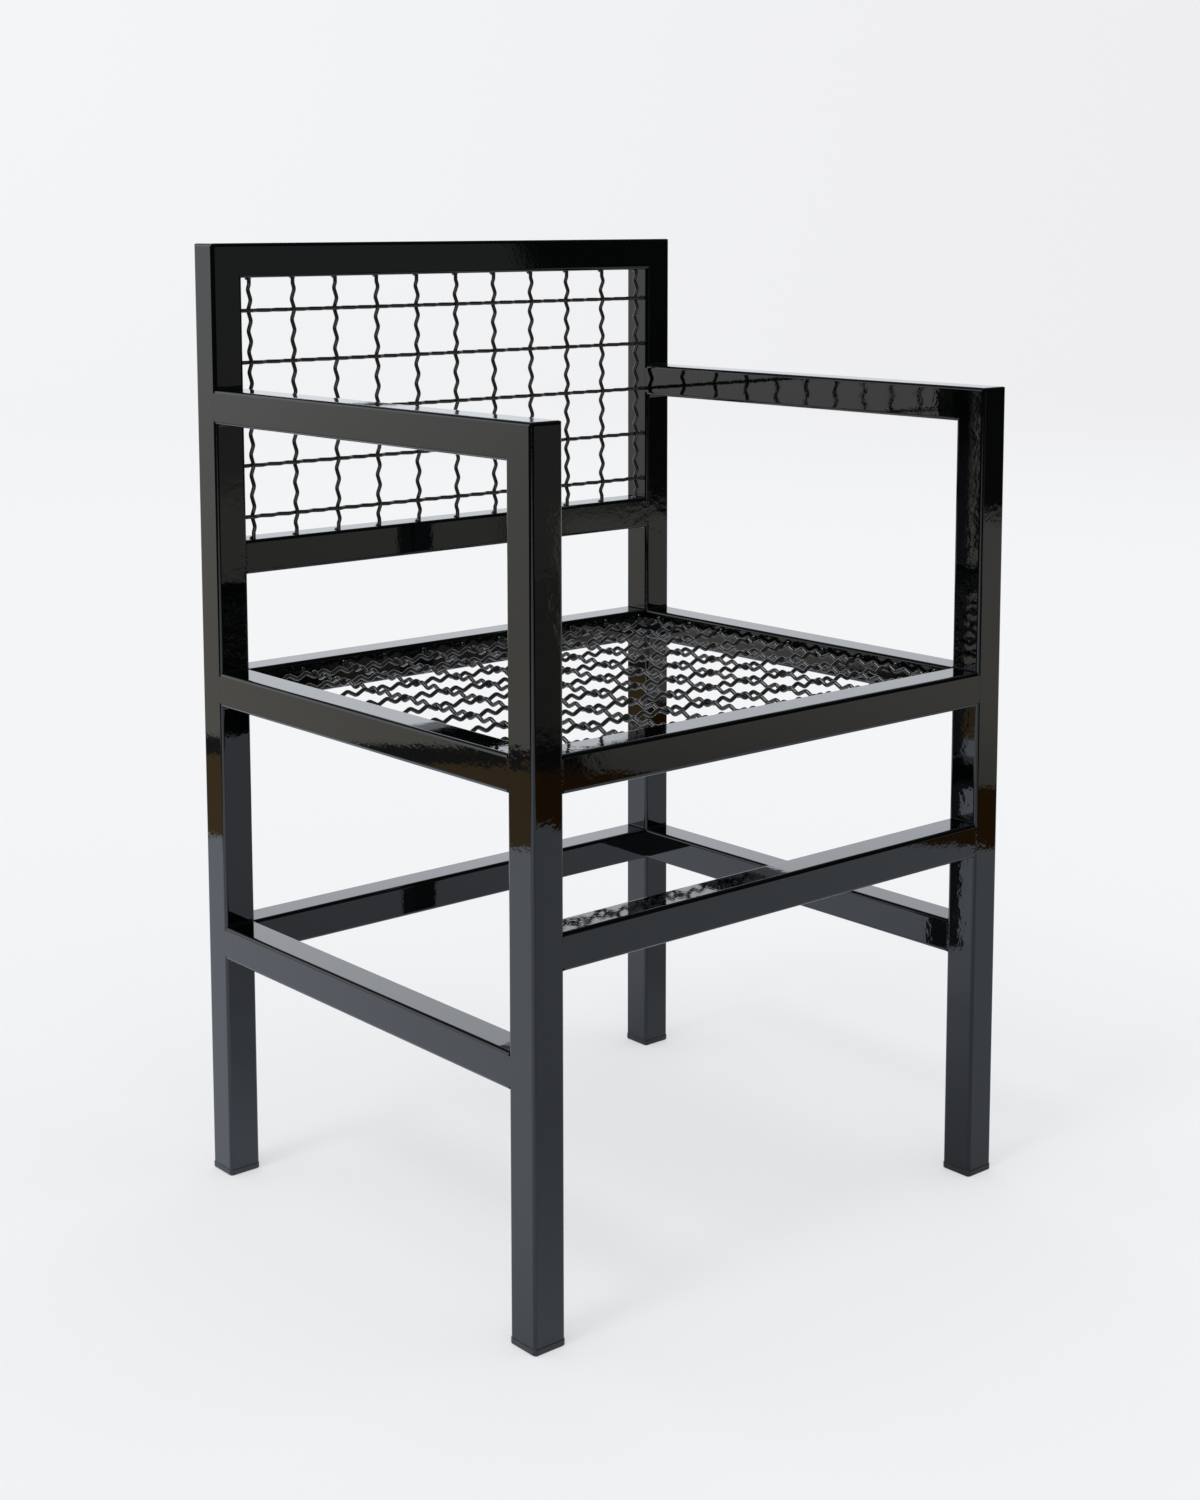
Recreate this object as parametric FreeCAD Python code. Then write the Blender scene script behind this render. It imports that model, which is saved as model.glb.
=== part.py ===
# Metal armchair: a welded square-tube frame with a crimped wire mesh for its seat and its back.
# Millimetres. Origin on the floor under the middle of the chair, +Z up, the sitter faces -Y,
# so the sitter's right side is at -X.
import FreeCAD, Part
import math
import os

# Overall sizes, over the tubes
width = 530.0
depth = 458.0
height = 830.0

# Heights of the upper faces of the rails. The arms are set down from the top of the back
arm_drop = 125.0
seat_height = 458.0
back_rail_height = 572.0
front_stretcher_height = 323.0
stretcher_height = 230.0

# Square steel tube
tube = 30.0
tube_wall = 1.5
tube_radius = 3.0

# Crimped wire mesh
wire_diameter = 3.6
mesh_pitch = 45.0
half_waves_per_pitch = 5
crimp_bend_radius = 4.0
crossing_gap = 0.1
wire_end_length = 2.5
seat_mesh_depth = 9.0
back_mesh_depth = 5.4
back_mesh_drop = 4.3

# Foot caps pressed into the ends of the legs
cap_flange_height = 5.5
cap_overhang = 0.5
cap_bottom_round = 1.5
cap_top_round = 0.4
cap_plug_height = 14.0
cap_plug_wall = 2.0
cap_rib_count = 3
cap_rib_height = 1.2
cap_rib_depth = 1.2
cap_clearance = 0.05

# Welds. The beads are larger on the rails from front to back than on those across
side_bead_leg = 2.5
cross_bead_leg = 1.2
bead_sag_ratio = 0.2
seam_clearance = 0.03
spot_leg = 1.5
spot_height = 2.0
spot_rim = 0.4
spot_clearance = 0.05

# Places that follow from the sizes above
arm_height = height - arm_drop
half_tube = tube / 2
leg_x = width / 2 - half_tube
leg_y = depth / 2 - half_tube
inner_x = width / 2 - tube
inner_y = depth / 2 - tube
wire_radius = wire_diameter / 2
crimp_height = wire_radius + crossing_gap / 2
half_wave = mesh_pitch / half_waves_per_pitch

X = FreeCAD.Vector(1, 0, 0)
Y = FreeCAD.Vector(0, 1, 0)
Z = FreeCAD.Vector(0, 0, 1)

parts = {}


def rounded_bar(side, radius, length):
    """A square bar along +Z from the origin, with its four long edges rounded."""
    bar = Part.makeBox(side, side, length, FreeCAD.Vector(-side / 2, -side / 2, 0))
    long_edges = [edge for edge in bar.Edges if abs(edge.tangentAt(0).z) > 0.5]
    return bar.makeFillet(radius, long_edges)


def place(shape, point, along):
    """Moves a shape made along +Z to a point, with its axis turned to another direction."""
    shape.Placement = FreeCAD.Placement(point, FreeCAD.Rotation(Z, along))
    return shape


# Square tubes

def square_tube(start, end):
    """A length of tube between two points on its axis."""
    run = end - start
    outside = rounded_bar(tube, tube_radius, run.Length)
    inside = rounded_bar(tube - 2 * tube_wall, tube_radius - tube_wall, run.Length)
    return place(outside.cut(inside), start, run)


def half_space(point, normal):
    """A block that holds everything beyond a plane."""
    reach = width + depth + height
    block = Part.makeBox(2 * reach, 2 * reach, reach, FreeCAD.Vector(-reach, -reach, 0))
    return place(block, point, normal)


def mitred_pair(upright, rail, corner, inwards):
    """Cuts an upright and the rail over it to one mitre, and rounds the corner they make.

    corner is the middle of the outer top edge, and inwards is the way the rail leaves it.
    """
    slope = inwards + Z
    across = Z.cross(inwards)
    waste_start = corner - across * tube
    waste = Part.makeBox(tube_radius, 2 * tube, tube_radius)
    turn = FreeCAD.Rotation(inwards, across, Z, "ZXY")
    waste.Placement = FreeCAD.Placement(waste_start - Z * tube_radius, turn)
    round_centre = waste_start + (inwards - Z) * tube_radius
    waste = waste.cut(Part.makeCylinder(tube_radius, 2 * tube, round_centre, across))
    upright = upright.cut(half_space(corner, slope)).cut(waste)
    rail = rail.cut(half_space(corner, slope * -1)).cut(waste)
    return upright, rail


sides = {"right": -1, "left": 1}

# Rear posts run full height and are mitred to the top rail of the back
top_rail_z = height - half_tube
top_rail = square_tube(
    FreeCAD.Vector(-width / 2, leg_y, top_rail_z),
    FreeCAD.Vector(width / 2, leg_y, top_rail_z))
for side, sign in sides.items():
    post = square_tube(
        FreeCAD.Vector(sign * leg_x, leg_y, cap_flange_height),
        FreeCAD.Vector(sign * leg_x, leg_y, height))
    corner = FreeCAD.Vector(sign * width / 2, leg_y, height)
    post, top_rail = mitred_pair(post, top_rail, corner, X * -sign)
    parts["rear_post_" + side] = post
parts["back_top_rail"] = top_rail

# Front legs stop at the arms and are mitred to them. The arms butt on the rear posts
arm_z = arm_height - half_tube
for side, sign in sides.items():
    leg = square_tube(
        FreeCAD.Vector(sign * leg_x, -leg_y, cap_flange_height),
        FreeCAD.Vector(sign * leg_x, -leg_y, arm_height))
    arm = square_tube(
        FreeCAD.Vector(sign * leg_x, -depth / 2, arm_z),
        FreeCAD.Vector(sign * leg_x, inner_y, arm_z))
    corner = FreeCAD.Vector(sign * leg_x, -depth / 2, arm_height)
    leg, arm = mitred_pair(leg, arm, corner, Y)
    parts["front_leg_" + side] = leg
    parts["arm_" + side] = arm

# Rails across the chair, each between two uprights
cross_rails = {
    "back_lower_rail": (leg_y, back_rail_height),
    "seat_rail_front": (-leg_y, seat_height),
    "seat_rail_rear": (leg_y, seat_height),
    "stretcher_front": (-leg_y, front_stretcher_height),
    "stretcher_rear": (leg_y, stretcher_height),
}
for name, (y, top) in cross_rails.items():
    parts[name] = square_tube(
        FreeCAD.Vector(-inner_x, y, top - half_tube),
        FreeCAD.Vector(inner_x, y, top - half_tube))

# Rails from front to back, each between a front leg and a rear post
side_rails = {"seat_rail": seat_height, "stretcher": stretcher_height}
for name, top in side_rails.items():
    for side, sign in sides.items():
        parts[name + "_" + side] = square_tube(
            FreeCAD.Vector(sign * leg_x, -inner_y, top - half_tube),
            FreeCAD.Vector(sign * leg_x, inner_y, top - half_tube))


# Foot caps

def foot_cap():
    """A moulded cap: a flange under the tube and a hollow ribbed plug inside it."""
    bore = tube - 2 * tube_wall
    flange_side = tube + 2 * cap_overhang
    flange = rounded_bar(flange_side, tube_radius + cap_overhang, cap_flange_height)
    bottom_edges = [edge for edge in flange.Edges if edge.BoundBox.ZMax < 0.001]
    flange = flange.makeFillet(cap_bottom_round, bottom_edges)
    level = cap_flange_height - 0.001
    top_edges = [edge for edge in flange.Edges if edge.BoundBox.ZMin > level]
    flange = flange.makeFillet(cap_top_round, top_edges)
    rib_side = bore - 2 * cap_clearance
    plug_side = rib_side - 2 * cap_rib_depth
    plug = rounded_bar(plug_side, tube_radius, cap_plug_height)
    rib_step = cap_plug_height / (cap_rib_count + 1)
    for number in range(cap_rib_count):
        rib = rounded_bar(rib_side, tube_radius - tube_wall, cap_rib_height)
        rib.translate(Z * rib_step * (number + 1))
        plug = plug.fuse(rib)
    hollow_side = plug_side - 2 * cap_plug_wall
    plug = plug.cut(rounded_bar(hollow_side, tube_radius, cap_plug_height))
    plug.translate(Z * cap_flange_height)
    return flange.fuse(plug).removeSplitter()


for end, end_sign in {"front": -1, "rear": 1}.items():
    for side, sign in sides.items():
        cap = foot_cap()
        cap.translate(FreeCAD.Vector(sign * leg_x, end_sign * leg_y, 0))
        parts["foot_cap_" + end + "_" + side] = cap


# Crimped wires of the mesh. Every crest and trough is a bend, with a straight flank between.
# flank_slope makes the bend's own crest come out at crimp_height
flat_part = half_wave ** 2 / 4 - crimp_bend_radius ** 2
bend_part = crimp_height - crimp_bend_radius
flank_slope = (half_wave * bend_part + math.sqrt(
    (half_wave * bend_part) ** 2
    - 4 * flat_part * (bend_part ** 2 - crimp_bend_radius ** 2))) / (2 * flat_part)
flank_angle = math.atan(flank_slope)
corner_height = flank_slope * half_wave / 2

# Least distance from a rail to the nearest crest: half a wave down to the mesh's middle plane,
# the bend there, and the straight end that is welded
end_bend = crimp_bend_radius * math.tan(flank_angle / 2)
least_end = half_wave / 2 + end_bend + wire_end_length


def bent_path(corners, radius):
    """Straight runs through the corners, joined by tangent arcs of one radius."""
    edges = []
    run_start = corners[0]
    for before, here, after in zip(corners, corners[1:], corners[2:]):
        back = (before - here).normalize()
        onward = (after - here).normalize()
        half_turn = (math.pi - back.getAngle(onward)) / 2
        setback = radius * math.tan(half_turn)
        middle = (back + onward).normalize()
        arc_start = here + back * setback
        arc_middle = here + middle * (radius / math.cos(half_turn) - radius)
        arc_end = here + onward * setback
        edges.append(Part.LineSegment(run_start, arc_start).toShape())
        edges.append(Part.Arc(arc_start, arc_middle, arc_end).toShape())
        run_start = arc_end
    edges.append(Part.LineSegment(run_start, corners[-1]).toShape())
    return Part.Wire(edges)


def crest_places(length, first_crossing):
    """Where a wire's crests and troughs lie, and how many come before its first crossing."""
    before = math.floor((first_crossing - least_end) / half_wave)
    first = first_crossing - before * half_wave
    count = math.floor((length - least_end - first) / half_wave) + 1
    return [first + number * half_wave for number in range(count)], before


def crimped_wire(start, along, wave, length, first_crossing, first_side):
    """A wire from start, crimped towards wave at its first crossing where first_side is 1."""
    places, before = crest_places(length, first_crossing)
    side = first_side * (-1) ** before
    corners = [FreeCAD.Vector(0, 0, 0), X * (places[0] - half_wave / 2)]
    for number, place_on_wire in enumerate(places):
        corner_side = side * (-1) ** number
        corners.append(FreeCAD.Vector(place_on_wire, 0, corner_side * corner_height))
    corners.append(X * (places[-1] + half_wave / 2))
    corners.append(X * length)
    path = bent_path(corners, crimp_bend_radius)
    section = Part.Wire(Part.Circle(FreeCAD.Vector(0, 0, 0), X, wire_radius).toShape())
    wire = path.makePipeShell([section], True, False)
    turn = FreeCAD.Rotation(along, wave.cross(along), wave, "XZY")
    wire.Placement = FreeCAD.Placement(start, turn)
    return wire


def wire_rows(opening, shift=0.0):
    """Places of the wires across an opening, from its low side, about its shifted middle."""
    room = opening - 2 * (least_end + abs(shift))
    count = math.floor(room / mesh_pitch) + 1
    first = (opening - (count - 1) * mesh_pitch) / 2 + shift
    return [first + number * mesh_pitch for number in range(count)]


# The seat's mesh lies a little below the tops of its four rails
seat_mesh_z = seat_height - seat_mesh_depth
back_mesh_y = inner_y + back_mesh_depth
back_low = back_rail_height
back_high = height - tube
columns = wire_rows(2 * inner_x)
seat_rows = wire_rows(2 * inner_y)
back_rows = wire_rows(back_high - back_low, -back_mesh_drop)

# The ends of all wires, as points on the rails with the way each wire leaves
seat_wire_ends = []
back_wire_ends = []


def add_wire(name, ends, start, along, wave, length, first_crossing, first_side):
    parts[name] = crimped_wire(start, along, wave, length, first_crossing, first_side)
    ends.append((start, along))
    ends.append((start + along * length, along * -1))


for number, row in enumerate(seat_rows):
    add_wire(
        "seat_wire_cross_%02d" % (number + 1), seat_wire_ends,
        FreeCAD.Vector(-inner_x, row - inner_y, seat_mesh_z),
        X, Z, 2 * inner_x, columns[0], (-1) ** number)
for number, column in enumerate(columns):
    add_wire(
        "seat_wire_long_%02d" % (number + 1), seat_wire_ends,
        FreeCAD.Vector(column - inner_x, -inner_y, seat_mesh_z),
        Y, Z, 2 * inner_y, seat_rows[0], -(-1) ** number)

# The back's mesh lies a little behind the front faces of its frame
for number, row in enumerate(back_rows):
    add_wire(
        "back_wire_cross_%02d" % (number + 1), back_wire_ends,
        FreeCAD.Vector(-inner_x, back_mesh_y, back_low + row),
        X, Y, 2 * inner_x, columns[0], -(-1) ** number)
for number, column in enumerate(columns):
    add_wire(
        "back_wire_upright_%02d" % (number + 1), back_wire_ends,
        FreeCAD.Vector(column - inner_x, back_mesh_y, back_low),
        Z, Y, back_high - back_low, back_rows[0], (-1) ** number)


# Weld spots where the wires meet the rails

def weld_spot(point, along):
    """A ring of weld round a wire's end, widest on the rail."""
    foot_radius = wire_radius + spot_leg
    rim_radius = wire_radius + spot_rim
    ring = Part.makeCone(foot_radius, rim_radius, spot_height, point, along)
    bore = Part.makeCylinder(wire_radius + spot_clearance, spot_height, point, along)
    return ring.cut(bore)


parts["weld_spots_seat_mesh"] = Part.makeCompound([weld_spot(*end) for end in seat_wire_ends])
parts["weld_spots_back_mesh"] = Part.makeCompound([weld_spot(*end) for end in back_wire_ends])


# Welds of the frame. A rail's end is welded all round to the upright that it meets

def bead(leg):
    """A fillet weld in the corner between an upright, at X = 0, and a rail's upper face."""
    foot = FreeCAD.Vector(0, 0, half_tube)
    on_rail = foot + X * leg
    on_upright = foot + Z * leg
    hollow = foot + (X + Z) * (leg / 2) - (X + Z).normalize() * leg * bead_sag_ratio
    outline = Part.Wire([
        Part.LineSegment(foot, on_rail).toShape(),
        Part.Arc(on_rail, hollow, on_upright).toShape(),
        Part.LineSegment(on_upright, foot).toShape()])
    flat = tube - 2 * tube_radius
    weld = Part.Face(outline).extrude(Y * flat)
    weld.translate(Y * -flat / 2)
    return weld


def seam():
    """A weld that fills the groove beside an upright's rounded edge, ground flush."""
    edge = FreeCAD.Vector(0, half_tube, 0)
    centre = FreeCAD.Vector(-tube_radius, half_tube - tube_radius, 0)
    reach = tube_radius + seam_clearance
    rise = math.sqrt(reach ** 2 - tube_radius ** 2)
    on_rail = centre + FreeCAD.Vector(tube_radius, rise, 0)
    on_upright = centre + FreeCAD.Vector(rise, tube_radius, 0)
    hollow = centre + (X + Y).normalize() * reach
    outline = Part.Wire([
        Part.LineSegment(edge, on_rail).toShape(),
        Part.Arc(on_rail, hollow, on_upright).toShape(),
        Part.LineSegment(on_upright, edge).toShape()])
    flat = tube - 2 * tube_radius
    weld = Part.Face(outline).extrude(Z * flat)
    weld.translate(Z * -flat / 2)
    return weld


def rail_end_welds(point, along, leg):
    """The welds of a rail's end: a bead above and below it, and a seam on each side."""
    across = Z.cross(along)
    origin = FreeCAD.Vector(0, 0, 0)
    upper = bead(leg)
    beside = seam()
    welds = [upper, upper.mirror(origin, Z), beside, beside.mirror(origin, Y)]
    turn = FreeCAD.Placement(point, FreeCAD.Rotation(along, across, Z, "ZXY"))
    for weld in welds:
        weld.Placement = turn.multiply(weld.Placement)
    return welds


def cross_rail_welds(y, top):
    """The welds at both ends of a rail across the chair."""
    welds = []
    for sign in sides.values():
        point = FreeCAD.Vector(sign * inner_x, y, top - half_tube)
        welds += rail_end_welds(point, X * -sign, cross_bead_leg)
    return welds


cross_welds = {name: cross_rail_welds(y, top) for name, (y, top) in cross_rails.items()}
filled = Part.makeCompound([weld for welds in cross_welds.values() for weld in welds])


def side_rail_welds(top, ends=(-1, 1)):
    """The welds of the two rails from front to back.

    The rails across the chair are welded first. Where one meets the same upright beside a side
    rail, its seam fills the groove that they share, and the side rail gets what is left of it.
    """
    welds = []
    for sign in sides.values():
        for end in ends:
            point = FreeCAD.Vector(sign * leg_x, end * inner_y, top - half_tube)
            for weld in rail_end_welds(point, Y * -end, side_bead_leg):
                welds += weld.cut(filled).Solids
    return welds


upper_welds = side_rail_welds(arm_height, ends=(1,))
upper_welds += cross_welds["back_lower_rail"]
lower_welds = side_rail_welds(seat_height) + side_rail_welds(stretcher_height)
for name in ("seat_rail_front", "seat_rail_rear", "stretcher_front", "stretcher_rear"):
    lower_welds += cross_welds[name]
parts["welds_arms_and_back"] = Part.makeCompound(upper_welds)
parts["welds_seat_and_stretchers"] = Part.makeCompound(lower_welds)

# One file for each sub-part
os.makedirs("parts", exist_ok=True)
for name, shape in parts.items():
    shape.exportStep("parts/" + name + ".step")
    print(name, len(shape.Solids), shape.isValid(), round(shape.Volume, 1))
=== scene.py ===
import math
import random

import bmesh
import bpy
from mathutils import Matrix, Vector


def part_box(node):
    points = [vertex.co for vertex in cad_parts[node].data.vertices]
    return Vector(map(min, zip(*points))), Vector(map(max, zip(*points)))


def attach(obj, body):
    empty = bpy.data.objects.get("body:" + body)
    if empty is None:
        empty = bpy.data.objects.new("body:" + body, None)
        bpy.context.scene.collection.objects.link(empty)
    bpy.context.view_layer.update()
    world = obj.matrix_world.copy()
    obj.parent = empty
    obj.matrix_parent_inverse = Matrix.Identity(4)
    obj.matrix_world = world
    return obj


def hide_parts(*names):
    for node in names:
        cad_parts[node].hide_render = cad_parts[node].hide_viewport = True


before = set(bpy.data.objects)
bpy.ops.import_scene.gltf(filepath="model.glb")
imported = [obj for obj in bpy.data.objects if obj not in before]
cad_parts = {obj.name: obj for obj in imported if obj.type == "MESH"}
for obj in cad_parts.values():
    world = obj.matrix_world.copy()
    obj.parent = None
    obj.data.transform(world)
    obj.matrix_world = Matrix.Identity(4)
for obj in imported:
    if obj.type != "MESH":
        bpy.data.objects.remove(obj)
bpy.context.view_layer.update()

scene = bpy.context.scene
scene.view_settings.view_transform = "Standard"

# The camera stands off the chair's front right corner, level with the top of the back.
# Its place and lens follow from the known edges of the frame in the photograph.
picture_width = 1200
picture_height = 1500
focal_pixels = 2269.3
centre_column = 554.5
centre_row = 500.6
camera_place = Vector((-1.2871, -1.4781, 0.8472))
camera_turn = 0.6961
camera_tilt = 0.12226
camera_roll = -0.00338

forward = Vector((
    math.sin(camera_turn) * math.cos(camera_tilt),
    math.cos(camera_turn) * math.cos(camera_tilt),
    -math.sin(camera_tilt)))
level_right = forward.cross(Vector((0, 0, 1))).normalized()
level_up = level_right.cross(forward)
camera_right = level_right * math.cos(camera_roll) + level_up * math.sin(camera_roll)
camera_up = level_up * math.cos(camera_roll) - level_right * math.sin(camera_roll)
axes = Matrix((camera_right, camera_up, -forward)).transposed()

lens = bpy.data.cameras.new("camera")
lens.sensor_width = 36.0
lens.lens = focal_pixels * lens.sensor_width / picture_height
lens.shift_x = (picture_width / 2 - centre_column) / picture_height
lens.shift_y = (centre_row - picture_height / 2) / picture_height
lens.clip_end = 200.0
camera = bpy.data.objects.new("camera", lens)
camera.matrix_world = Matrix.Translation(camera_place) @ axes.to_4x4()
scene.collection.objects.link(camera)
scene.camera = camera


# The studio round the chair: a pale backdrop and even soft light from all sides. So that the gloss
# has something to mirror, it is bright behind the chair and dim in front of it.

def linear(hex_colour):
    """An sRGB hex colour as the linear values that a shader takes."""
    values = [int(hex_colour[start:start + 2], 16) / 255 for start in (1, 3, 5)]
    return [v / 12.92 if v <= 0.04045 else ((v + 0.055) / 1.055) ** 2.4 for v in values] + [1.0]


def add(tree, kind, inputs=None, **settings):
    """Adds a node with its settings. An input is a value, an output, or a node's first output."""
    node = tree.nodes.new(kind)
    for name, value in settings.items():
        setattr(node, name, value)
    for key, value in (inputs or {}).items():
        if isinstance(key, int):
            socket = node.inputs[key]
        else:
            socket = next(s for s in node.inputs if s.name == key and s.enabled)
        if isinstance(value, bpy.types.Node):
            value = next(s for s in value.outputs if s.enabled)
        if isinstance(value, bpy.types.NodeSocket):
            tree.links.new(value, socket)
        else:
            socket.default_value = value
    return node


world = bpy.data.worlds.new("studio")
scene.world = world
world.use_nodes = True
tree = world.node_tree
tree.nodes.clear()
direction = add(tree, "ShaderNodeTexCoord")
heading = add(tree, "ShaderNodeSeparateXYZ", {"Vector": direction.outputs["Generated"]})

# What the camera sees: a shade lighter towards the top and towards the key light
seen_height = add(tree, "ShaderNodeMapRange", {
    "Value": heading.outputs["Z"], "From Min": -0.3, "From Max": 0.1}, interpolation_type="SMOOTHSTEP")
seen_colour = add(tree, "ShaderNodeMix", {
    "Factor": seen_height, "A": linear("#F0F1F3"), "B": linear("#F4F5F7")}, data_type="RGBA")
seen_side = add(tree, "ShaderNodeMapRange", {
    "Value": heading.outputs["X"], "From Min": 0.4, "From Max": 0.9}, interpolation_type="SMOOTHSTEP")
seen_colour = add(tree, "ShaderNodeMix", {
    "Factor": seen_side, "A": seen_colour, "B": linear("#EEEEF0")}, data_type="RGBA")
seen = add(tree, "ShaderNodeBackground", {"Color": seen_colour, "Strength": 1.0})


def band(tree, value, low, high, edge):
    """1 where a value lies between low and high, falling to 0 over the width of an edge."""
    middle = (low + high) / 2
    off = add(tree, "ShaderNodeMath", {0: value, 1: middle}, operation="SUBTRACT")
    off = add(tree, "ShaderNodeMath", {0: off}, operation="ABSOLUTE")
    return add(tree, "ShaderNodeMapRange", {
        "Value": off, "From Min": high - middle - edge / 2, "From Max": high - middle + edge / 2,
        "To Min": 1.0, "To Max": 0.0}, interpolation_type="SMOOTHSTEP")


# Behind the chair it is bright. The rows below make it brighter higher up, dark overhead, a little
# dimmer towards the sitter's left, and dark past its end at the sitter's right
rear_level = add(tree, "ShaderNodeMapRange", {
    "Value": heading.outputs["Z"], "From Min": -0.2, "From Max": 0.0,
    "To Min": 0.80, "To Max": 1.15}, interpolation_type="SMOOTHSTEP")
for axis, start, end, before, after in (
        ("Z", 0.08, 0.28, 1.0, 1.40),
        ("Z", 0.35, 0.60, 1.0, 0.08),
        ("X", 0.62, 0.72, 1.0, 0.90),
        ("X", -0.770, -0.760, 0.04, 1.0)):
    share = add(tree, "ShaderNodeMapRange", {
        "Value": heading.outputs[axis], "From Min": start, "From Max": end,
        "To Min": before, "To Max": after}, interpolation_type="SMOOTHSTEP")
    rear_level = add(tree, "ShaderNodeMath", {0: rear_level, 1: share}, operation="MULTIPLY")


def stretch(tree, across, sides, side_edge, ends, end_edge):
    """1 on a stretch of the studio, between its two sides and its lower and upper ends."""
    in_sides = band(tree, across, *sides, side_edge)
    in_ends = band(tree, heading.outputs["Z"], *ends, end_edge)
    return add(tree, "ShaderNodeMath", {0: in_sides, 1: in_ends}, operation="MULTIPLY")


# In front it is dark, with four stretches of light: a faint one high up whose far side leans, a
# stronger one along its foot, a dim one below that, and a bright one low at the sitter's left
leaning = add(tree, "ShaderNodeMath", {
    0: heading.outputs["Z"], 1: 0.31, 2: heading.outputs["X"]}, operation="MULTIPLY_ADD")
high_stretch = stretch(tree, leaning, (0.42, 0.625), 0.010, (-0.157, 0.12), 0.012)
foot_stretch = stretch(tree, heading.outputs["X"], (0.42, 0.618), 0.012, (-0.157, -0.115), 0.012)
dim_stretch = stretch(tree, heading.outputs["X"], (0.55, 0.640), 0.014, (-0.225, -0.14), 0.02)
low_stretch = stretch(tree, heading.outputs["X"], (0.636, 1.1), 0.012, (-0.6, -0.126), 0.012)
dark_level = 0.02
high_level = 0.24
foot_level = 0.20
dim_level = 0.18
low_level = add(tree, "ShaderNodeMapRange", {
    "Value": heading.outputs["Z"], "From Min": -0.25, "From Max": -0.20,
    "To Min": 0.42, "To Max": 0.62}, interpolation_type="SMOOTHSTEP")
front_level = add(tree, "ShaderNodeMath", {
    0: high_stretch, 1: high_level, 2: dark_level}, operation="MULTIPLY_ADD")
front_level = add(tree, "ShaderNodeMath", {
    0: foot_stretch, 1: foot_level, 2: front_level}, operation="MULTIPLY_ADD")
for lit_stretch, level in ((low_stretch, low_level), (dim_stretch, dim_level)):
    light = add(tree, "ShaderNodeMath", {0: lit_stretch, 1: level}, operation="MULTIPLY")
    front_level = add(tree, "ShaderNodeMath", {0: light, 1: front_level}, operation="MAXIMUM")

behind = add(tree, "ShaderNodeMapRange", {
    "Value": heading.outputs["Y"], "From Min": -0.3, "From Max": 0.05}, interpolation_type="SMOOTHSTEP")
studio_level = add(tree, "ShaderNodeMix", {"Factor": behind, "A": front_level, "B": rear_level})
studio_coolness = add(tree, "ShaderNodeMapRange", {
    "Value": heading.outputs["Z"], "From Min": -0.2, "From Max": 0.05}, interpolation_type="SMOOTHSTEP")
studio_colour = add(tree, "ShaderNodeMix", {
    "Factor": studio_coolness, "A": linear("#FFFCF2"), "B": linear("#F4F9FF")}, data_type="RGBA")

# The key light's own broad face, which the welds and the crests of the wires catch
key_direction = Vector((0.72, 0.04, -1.0))
key_face_level = 8.0
key_face_reach = math.radians(18.0)
key_face_end = math.radians(24.0)
to_key = add(tree, "ShaderNodeVectorMath", {
    0: direction.outputs["Generated"], 1: -key_direction.normalized()}, operation="DOT_PRODUCT")
key_face = add(tree, "ShaderNodeMapRange", {
    "Value": to_key.outputs["Value"], "From Min": math.cos(key_face_end),
    "From Max": math.cos(key_face_reach), "To Min": 0.0, "To Max": key_face_level})
mirrored_level = add(tree, "ShaderNodeMath", {0: studio_level, 1: key_face}, operation="ADD")
mirrored = add(tree, "ShaderNodeBackground", {"Color": studio_colour, "Strength": mirrored_level})

soft_level = 0.84
soft_light = add(tree, "ShaderNodeBackground", {"Color": linear("#FFFFFF"), "Strength": soft_level})
ray = add(tree, "ShaderNodeLightPath")
through = add(tree, "ShaderNodeMath", {
    0: ray.outputs["Is Glossy Ray"], 1: ray.outputs["Is Transmission Ray"]}, operation="MAXIMUM")
unseen = add(tree, "ShaderNodeMixShader", {0: through, 1: soft_light, 2: mirrored})
either = add(tree, "ShaderNodeMixShader", {0: ray.outputs["Is Camera Ray"], 1: unseen, 2: seen})
add(tree, "ShaderNodeOutputWorld", {"Surface": either})

# The key light hangs on the sitter's right. It is broad, so that shadows soften away from the feet
key = bpy.data.lights.new("key", "SUN")
key.energy = 0.49
key.angle = math.radians(15.0)
key_light = bpy.data.objects.new("key", key)
key_light.rotation_euler = key_direction.to_track_quat("-Z", "Y").to_euler()
scene.collection.objects.link(key_light)


# The floor is a sheet of matt white paper that runs out into the backdrop, with no edge to be
# seen. In the gloss it is a strip in a cooler, darker colour than the paper, with a painted glow
# that brightens it towards the key light. Past its two sides the gloss shows a painted reflection
# of a dim bare floor, an emission with a darker strip along its left end.
sheet_reach = 30.0
fade_start = 3.0
fade_end = 9.0

# Places across the camera's view, from the chair
sheet_side = 1.42
floor_left_end = -2.00
dark_strip_end = -1.88
floor_right_end = 1.76
# The painted glow grows across this distance on each side of the chair
painted_glow_side = 0.45

mesh = bpy.data.meshes.new("floor")
shape = bmesh.new()
bmesh.ops.create_grid(shape, x_segments=1, y_segments=1, size=sheet_reach)
shape.to_mesh(mesh)
shape.free()
floor = bpy.data.objects.new("floor", mesh)
scene.collection.objects.link(floor)

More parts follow.
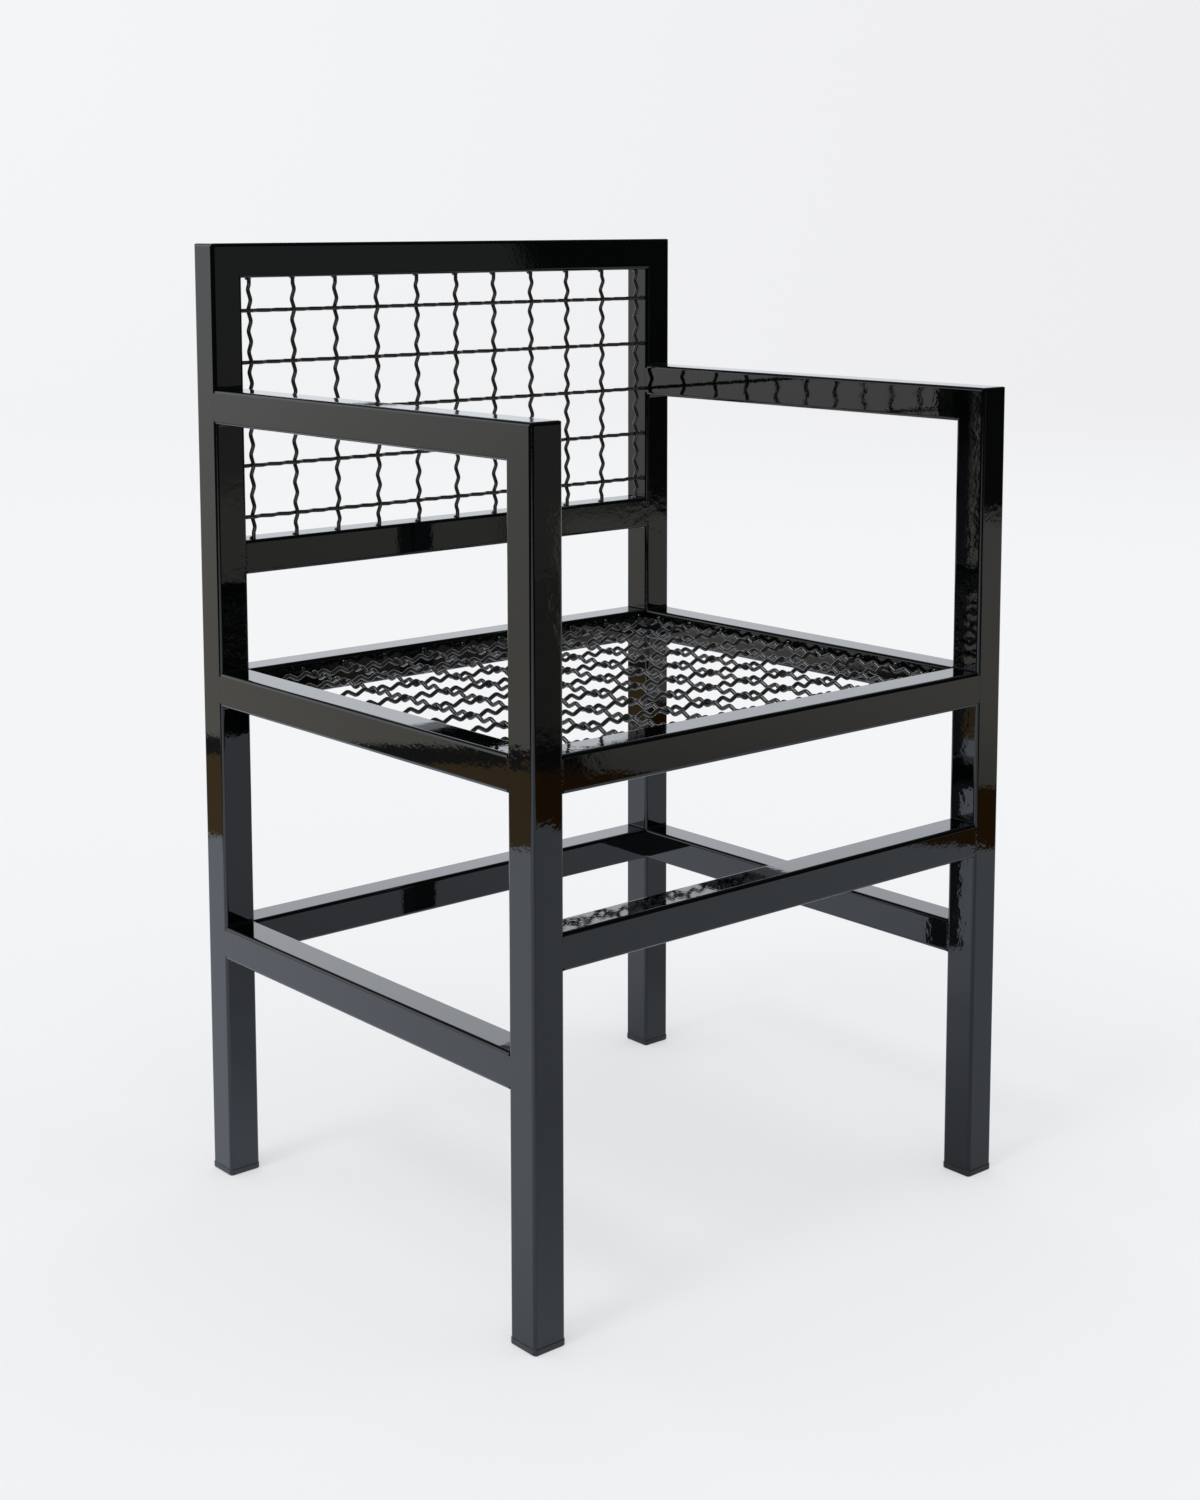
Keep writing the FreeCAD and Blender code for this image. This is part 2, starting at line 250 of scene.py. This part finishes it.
paper = bpy.data.materials.new("matt white paper")
paper.use_nodes = True
tree = paper.node_tree
tree.nodes.clear()
place = add(tree, "ShaderNodeTexCoord").outputs["Object"]
ray = add(tree, "ShaderNodeLightPath")
far_off = add(tree, "ShaderNodeVectorMath", {0: place}, operation="LENGTH")
near = add(tree, "ShaderNodeMapRange", {
    "Value": far_off.outputs["Value"], "From Min": fade_start, "From Max": fade_end,
    "To Min": 1.0, "To Max": 0.0}, interpolation_type="SMOOTHSTEP")
strip_across = (math.cos(camera_turn), -math.sin(camera_turn), 0.0)
across = add(tree, "ShaderNodeVectorMath", {0: place, 1: strip_across}, operation="DOT_PRODUCT")
across = across.outputs["Value"]
on_sheet = band(tree, across, -sheet_side, sheet_side, 0.01)
on_dark_strip = band(tree, across, floor_left_end, dark_strip_end, 0.02)
on_floor = band(tree, across, floor_left_end, floor_right_end, 0.01)
on_right = add(tree, "ShaderNodeMath", {0: across, 1: 0.0}, operation="GREATER_THAN")

lit = add(tree, "ShaderNodeBsdfDiffuse", {"Color": linear("#F2F3F5")})
lit_mirrored = add(tree, "ShaderNodeBsdfDiffuse", {"Color": linear("#D4DDE8")})
# Painted light: in the gloss the sheet glows, brightest on the side towards the key light, as if the key
# lit it more there
painted_glow_most = 0.66
painted_glow_level = add(tree, "ShaderNodeMapRange", {
    "Value": across, "From Min": painted_glow_side, "From Max": -painted_glow_side,
    "To Min": 0.0, "To Max": painted_glow_most}, interpolation_type="SMOOTHSTEP")
painted_glow = add(tree, "ShaderNodeEmission", {"Color": linear("#E6F0FF"), "Strength": painted_glow_level})
sheet_mirrored = add(tree, "ShaderNodeAddShader", {0: lit_mirrored, 1: painted_glow})
# Painted reflection: past the sheet the gloss sees glowing colour for a bare floor, tan, brown on the
# right, darker in a strip at the left end
painted_floor_reflection_colour = add(tree, "ShaderNodeMix", {
    "Factor": on_right, "A": linear("#A88E68"), "B": linear("#694519")}, data_type="RGBA")
painted_floor_reflection_colour = add(tree, "ShaderNodeMix", {
    "Factor": on_dark_strip, "A": painted_floor_reflection_colour, "B": linear("#4C4E4B")}, data_type="RGBA")
painted_floor_reflection = add(tree, "ShaderNodeEmission", {"Color": painted_floor_reflection_colour, "Strength": 1.0})
in_gloss = add(tree, "ShaderNodeMixShader", {0: on_sheet, 1: painted_floor_reflection, 2: sheet_mirrored})
gone = add(tree, "ShaderNodeBsdfTransparent")
in_gloss = add(tree, "ShaderNodeMixShader", {0: on_floor, 1: gone, 2: in_gloss})

white_share = 0.45
white = add(tree, "ShaderNodeEmission", {"Color": linear("#FBFCFE"), "Strength": 1.0})
in_view = add(tree, "ShaderNodeMixShader", {0: white_share, 1: lit, 2: white})
surface = add(tree, "ShaderNodeMixShader", {0: ray.outputs["Is Camera Ray"], 1: lit, 2: in_view})
surface = add(tree, "ShaderNodeMixShader", {0: ray.outputs["Is Glossy Ray"], 1: surface, 2: in_gloss})
surface = add(tree, "ShaderNodeMixShader", {0: near, 1: gone, 2: surface})
add(tree, "ShaderNodeOutputMaterial", {"Surface": surface})
mesh.materials.append(paper)


# The frame is square steel tube, welded, ground flush and coated gloss black after welding.
# The coating flows a little as it cures, so what it mirrors has a ragged edge.

def metres(size):
    """A size in millimetres, in metres."""
    return size / 1000.0


def repeats(spacing):
    """How often a pattern repeats in a metre, from its spacing in millimetres."""
    return 1000.0 / spacing


def coating(name, colours, roughness, bumps, joint_bumps=()):
    """A black coating. A bump has a spacing and a height in millimetres. Some are at joints only."""
    cloud_spacing = 60.0
    film_spacing = 14.0
    material = bpy.data.materials.new(name)
    material.use_nodes = True
    tree = material.node_tree
    tree.nodes.clear()
    place = add(tree, "ShaderNodeTexCoord").outputs["Object"]
    cloud = add(tree, "ShaderNodeTexNoise", {
        "Vector": place, "Scale": repeats(cloud_spacing), "Detail": 3.0})
    colour = add(tree, "ShaderNodeMix", {
        "Factor": cloud, "A": linear(colours[0]), "B": linear(colours[1])}, data_type="RGBA")
    film = add(tree, "ShaderNodeTexNoise", {
        "Vector": place, "Scale": repeats(film_spacing), "Detail": 4.0})
    gloss = add(tree, "ShaderNodeMapRange", {
        "Value": film, "From Min": 0.3, "From Max": 0.7, "To Min": roughness[0], "To Max": roughness[1]})
    layers = [(spacing, height, None) for spacing, height in bumps]
    layers += [(spacing, height, near_joints(tree, place)) for spacing, height in joint_bumps]
    normal = None
    for spacing, height, mask in layers:
        relief = add(tree, "ShaderNodeTexNoise", {
            "Vector": place, "Scale": repeats(spacing), "Detail": 1.5})
        if mask:
            relief = add(tree, "ShaderNodeMath", {0: relief, 1: mask}, operation="MULTIPLY")
        bump = add(tree, "ShaderNodeBump", {
            "Height": relief, "Strength": 1.0, "Distance": metres(height)})
        if normal:
            tree.links.new(normal, bump.inputs["Normal"])
        normal = bump.outputs["Normal"]
    surface = add(tree, "ShaderNodeBsdfPrincipled", {
        "Base Color": colour, "Roughness": gloss, "IOR": 1.5, "Normal": normal})
    add(tree, "ShaderNodeOutputMaterial", {"Surface": surface})
    return material


# A joint lies where a rail's height meets a post. The grinding shows as far as ground_reach
rails = ["seat_rail_front", "stretcher_front", "stretcher_rear", "arm_right", "back_lower_rail"]
rail_heights = sorted({round(sum(corner.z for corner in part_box(name)) / 2, 3) for name in rails})
post_low, post_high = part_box("front_leg_left")
post_x = (post_low.x + post_high.x) / 2
post_y = -(post_low.y + post_high.y) / 2
ground_reach = 0.090
tube_half = (post_high.x - post_low.x) / 2


def near_joints(tree, place):
    """1 at the joints, where the welds were ground, and 0 away from them."""
    here = add(tree, "ShaderNodeSeparateXYZ", {"Vector": place})
    off_posts = []
    for axis, post in (("X", post_x), ("Y", post_y)):
        outwards = add(tree, "ShaderNodeMath", {0: here.outputs[axis]}, operation="ABSOLUTE")
        off_post = add(tree, "ShaderNodeMath", {0: outwards, 1: post}, operation="SUBTRACT")
        off_posts.append(add(tree, "ShaderNodeMath", {0: off_post}, operation="ABSOLUTE"))
    off_post = add(tree, "ShaderNodeMath", {0: off_posts[0], 1: off_posts[1]}, operation="MAXIMUM")
    by_post = add(tree, "ShaderNodeMapRange", {
        "Value": off_post, "From Min": tube_half, "From Max": ground_reach,
        "To Min": 1.0, "To Max": 0.0}, interpolation_type="SMOOTHSTEP")
    off_rail = None
    for height in rail_heights:
        off = add(tree, "ShaderNodeMath", {0: here.outputs["Z"], 1: height}, operation="SUBTRACT")
        off = add(tree, "ShaderNodeMath", {0: off}, operation="ABSOLUTE")
        if off_rail:
            off = add(tree, "ShaderNodeMath", {0: off, 1: off_rail}, operation="MINIMUM")
        off_rail = off
    by_rail = add(tree, "ShaderNodeMapRange", {
        "Value": off_rail, "From Min": tube_half, "From Max": ground_reach,
        "To Min": 1.0, "To Max": 0.0}, interpolation_type="SMOOTHSTEP")
    return add(tree, "ShaderNodeMath", {0: by_post, 1: by_rail}, operation="MULTIPLY")


frame_coat = coating(
    "gloss black powder coat", ("#020303", "#040505"), (0.015, 0.04),
    [(28.0, 0.015), (5.0, 0.008), (3.0, 0.010)], joint_bumps=[(16.0, 0.07), (6.0, 0.016)])

tubes = [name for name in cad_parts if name.startswith((
    "rear_post", "front_leg", "arm_", "back_top_rail", "back_lower_rail", "seat_rail", "stretcher"))]


def finish_nodes(names, material):
    """Gives CAD nodes a material through their objects' slots."""
    for name in names:
        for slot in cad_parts[name].material_slots:
            slot.material = material


finish_nodes(tubes, frame_coat)


# The welds above and below each rail are left as laid, and the coating runs over them.
# The beads beside the rails are ground flush.
weld_coat = coating(
    "gloss black powder coat on weld beads", ("#020304", "#040506"), (0.03, 0.08),
    [(3.0, 0.10), (1.2, 0.02)])
finish_nodes(["welds_arms_and_back", "welds_seat_and_stretchers"], weld_coat)


# The seat and the back are crimped steel wire, woven, and coated together with the frame.
# Its base colour is a shade lighter and browner than the frame's, a painted sheen for the light the
# round wire catches; thin glints show on the crests.
wire_coat = coating(
    "black powder coat on crimped wire", ("#211F1C", "#282622"), (0.02, 0.05),
    [(2.5, 0.012), (0.9, 0.003)])
finish_nodes([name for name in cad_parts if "_wire_" in name], wire_coat)


# Each wire's end is tacked to its rail with a small spot of weld, coated and left as it set.
# No two are alike: each is a small lump of metal, drawn up over its wire, cut flat by the rail.
# The spots' base colour is a few shades lighter than the frame's black: a painted highlight, so that
# they stand out bright as the tacks do
spot_coat = coating(
    "gloss black powder coat on weld spots", ("#0E0F11", "#151719"), (0.08, 0.16),
    [(1.6, 0.06), (0.8, 0.012)])
draw = random.Random(17)

# A lump's half sizes and its place over and beside the wire, in millimetres
lump_depth = (2.0, 2.9)
lump_width = (2.2, 2.9)
lump_height = (3.3, 4.4)
lump_lift = (1.2, 2.4)
lump_drift = (-0.4, 0.4)
lump_unevenness = (0.82, 1.18)
lump_smoothing = 0.35


def weld_lump(shape, point, outwards, over):
    """A lump on a rail's face at point, where the wire leaves outwards, drawn up towards over."""
    aside = outwards.cross(over)
    made = bmesh.ops.create_icosphere(shape, subdivisions=2, radius=1.0)
    verts = made["verts"]
    for vert in verts:
        vert.co *= draw.uniform(*lump_unevenness)
    bmesh.ops.smooth_vert(
        shape, verts=verts, factor=lump_smoothing, use_axis_x=True, use_axis_y=True, use_axis_z=True)
    bmesh.ops.scale(shape, verts=verts, vec=(
        metres(draw.uniform(*lump_depth)),
        metres(draw.uniform(*lump_width)),
        metres(draw.uniform(*lump_height))))
    turned = Matrix((outwards, aside, over)).transposed().to_4x4()
    lifted = point + over * metres(draw.uniform(*lump_lift)) + aside * metres(draw.uniform(*lump_drift))
    bmesh.ops.transform(shape, verts=verts, matrix=Matrix.Translation(lifted) @ turned)
    faces = {face for vert in verts for face in vert.link_faces}
    edges = {edge for vert in verts for edge in vert.link_edges}
    cut = bmesh.ops.bisect_plane(
        shape, geom=[*verts, *edges, *faces], plane_co=point, plane_no=outwards, clear_inner=True)
    rim = [piece for piece in cut["geom_cut"] if isinstance(piece, bmesh.types.BMEdge)]
    bmesh.ops.edgeloop_fill(shape, edges=rim)


def weld_spots(name, node, wires, over):
    """One piece that holds the spots at both ends of each wire named."""
    shape = bmesh.new()
    for wire in wires:
        low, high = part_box(wire)
        length = high - low
        along = max((Vector((1, 0, 0)), Vector((0, 1, 0)), Vector((0, 0, 1))), key=length.dot)
        middle = (low + high) / 2
        reach = along * length.dot(along) / 2
        weld_lump(shape, middle - reach, along, over)
        weld_lump(shape, middle + reach, -along, over)
    bmesh.ops.recalc_face_normals(shape, faces=shape.faces)
    for face in shape.faces:
        face.smooth = True
    mesh = bpy.data.meshes.new(name)
    shape.to_mesh(mesh)
    shape.free()
    mesh.materials.append(spot_coat)
    piece = bpy.data.objects.new(name, mesh)
    scene.collection.objects.link(piece)
    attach(piece, "root")
    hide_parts(node)


nodes = sorted(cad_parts)
upwards = Vector((0, 0, 1))
backwards = Vector((0, 1, 0))
seat_wires = [name for name in nodes if name.startswith("seat_wire")]
back_wires = [name for name in nodes if name.startswith("back_wire")]
weld_spots("seat_weld_spots", "weld_spots_seat_mesh", seat_wires, upwards)
weld_spots("back_weld_spots", "weld_spots_back_mesh", back_wires, backwards)


# The foot caps are moulded polyethylene with the fine grain of the mould, pressed into the legs.
# The grain is drawn coarser than the real one, so that it shows.
cap_plastic = coating(
    "moulded black polyethylene", ("#121314", "#191A1B"), (0.34, 0.46),
    [(0.8, 0.03), (9.0, 0.05)])
finish_nodes([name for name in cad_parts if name.startswith("foot_cap")], cap_plastic)
